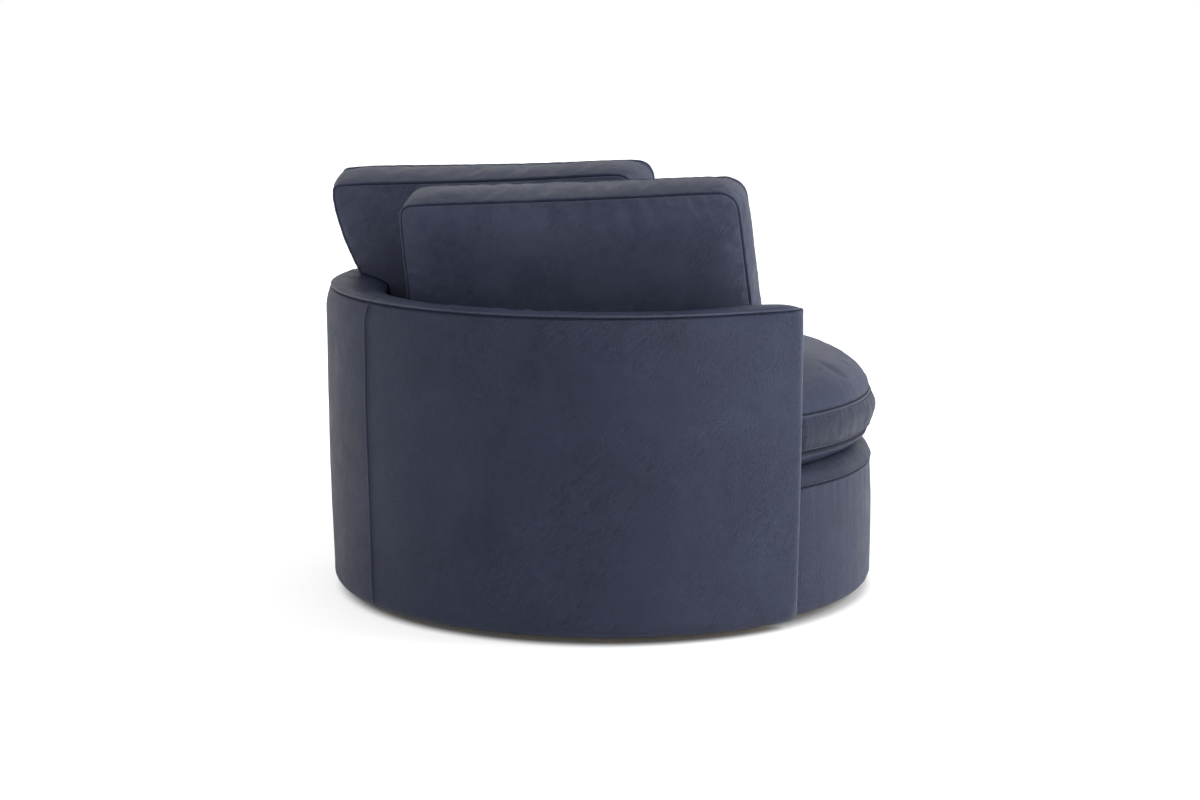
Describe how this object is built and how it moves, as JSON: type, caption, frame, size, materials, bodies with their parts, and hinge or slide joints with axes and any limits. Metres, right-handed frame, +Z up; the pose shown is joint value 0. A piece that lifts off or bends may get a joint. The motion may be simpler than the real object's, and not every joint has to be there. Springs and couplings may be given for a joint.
{
  "type": "cuddle chair",
  "caption": "Round swivel cuddle chair with a low curved wall for arms and back, a deep rounded seat cushion and two loose back cushions, all in leather.",
  "frame": {"origin": "on the floor, on the swivel axis, which is the centre of the round plinth", "axes": "+Z up, the front of the chair towards -Y, and -X at the sitter's right"},
  "size_m": [1.182, 1.152, 0.89],
  "materials": {
    "leather": "satin navy leather, softly mottled, with a fine grain",
    "plywood": "bare plywood",
    "foam": "open-cell foam and fibre wadding",
    "steel": "zinc-plated pressed steel",
    "dark_cloth": "black non-woven cloth and felt",
    "webbing": "woven elastic webbing"
  },
  "bodies": {
    "plinth": {"floor_pad": "dark_cloth", "plinth_disc": "plywood", "lower_race_plate": "steel", "plinth_screw_1": "steel", "plinth_screw_2": "steel", "plinth_screw_3": "steel", "plinth_screw_4": "steel"},
    "ball_cage": {"ball_cage": "steel"},
    "chair": {"upper_race_plate": "steel", "base_screw_1": "steel", "base_screw_2": "steel", "base_screw_3": "steel", "base_screw_4": "steel", "bottom_hoop": "plywood", "base_board": "plywood", "deck_post_1": "plywood", "deck_post_2": "plywood", "deck_post_3": "plywood", "deck_post_4": "plywood", "deck_ring": "plywood", "base_fascia": "plywood", "webbing_cross_1": "webbing", "webbing_cross_2": "webbing", "webbing_cross_3": "webbing", "webbing_long_1": "webbing", "webbing_long_2": "webbing", "webbing_long_3": "webbing", "webbing_long_4": "webbing", "deck_pad": "foam", "deck_cover": "leather", "base_cover": "leather", "base_wadding": "foam", "dust_cover": "dark_cloth", "shell_inner_panel": "plywood", "shell_outer_panel": "plywood", "bottom_rail": "plywood", "top_rail": "plywood", "arm_board_left": "plywood", "arm_board_right": "plywood", "shell_post_left": "plywood", "shell_post_back": "plywood", "shell_post_right": "plywood", "shell_wadding": "foam", "inner_foam": "foam", "rim_foam": "foam", "outer_cover_left": "leather", "outer_cover_right": "leather", "rim_cover": "leather", "inner_cover": "leather", "arm_pad_left": "foam", "arm_pad_right": "foam", "arm_front_cover_left": "leather", "arm_front_cover_right": "leather", "seat_cushion_cover": "leather", "seat_cushion_core": "foam", "back_cushion_cover_right": "leather", "back_cushion_core_right": "foam", "back_cushion_cover_left": "leather", "back_cushion_core_left": "foam"}
  },
  "joints": [
    {"name": "swivel", "type": "hinge", "parent": "plinth", "child": "chair", "pos_m": [0, 0, 0], "axis": [0, 0, 1], "continuous": true},
    {"name": "cage_turn", "type": "hinge", "parent": "plinth", "child": "ball_cage", "pos_m": [0, 0, 0], "axis": [0, 0, 1], "continuous": true}
  ],
  "couplings": [
    {"joint": "cage_turn", "follows": "swivel", "ratio": 0.5}
  ]
}
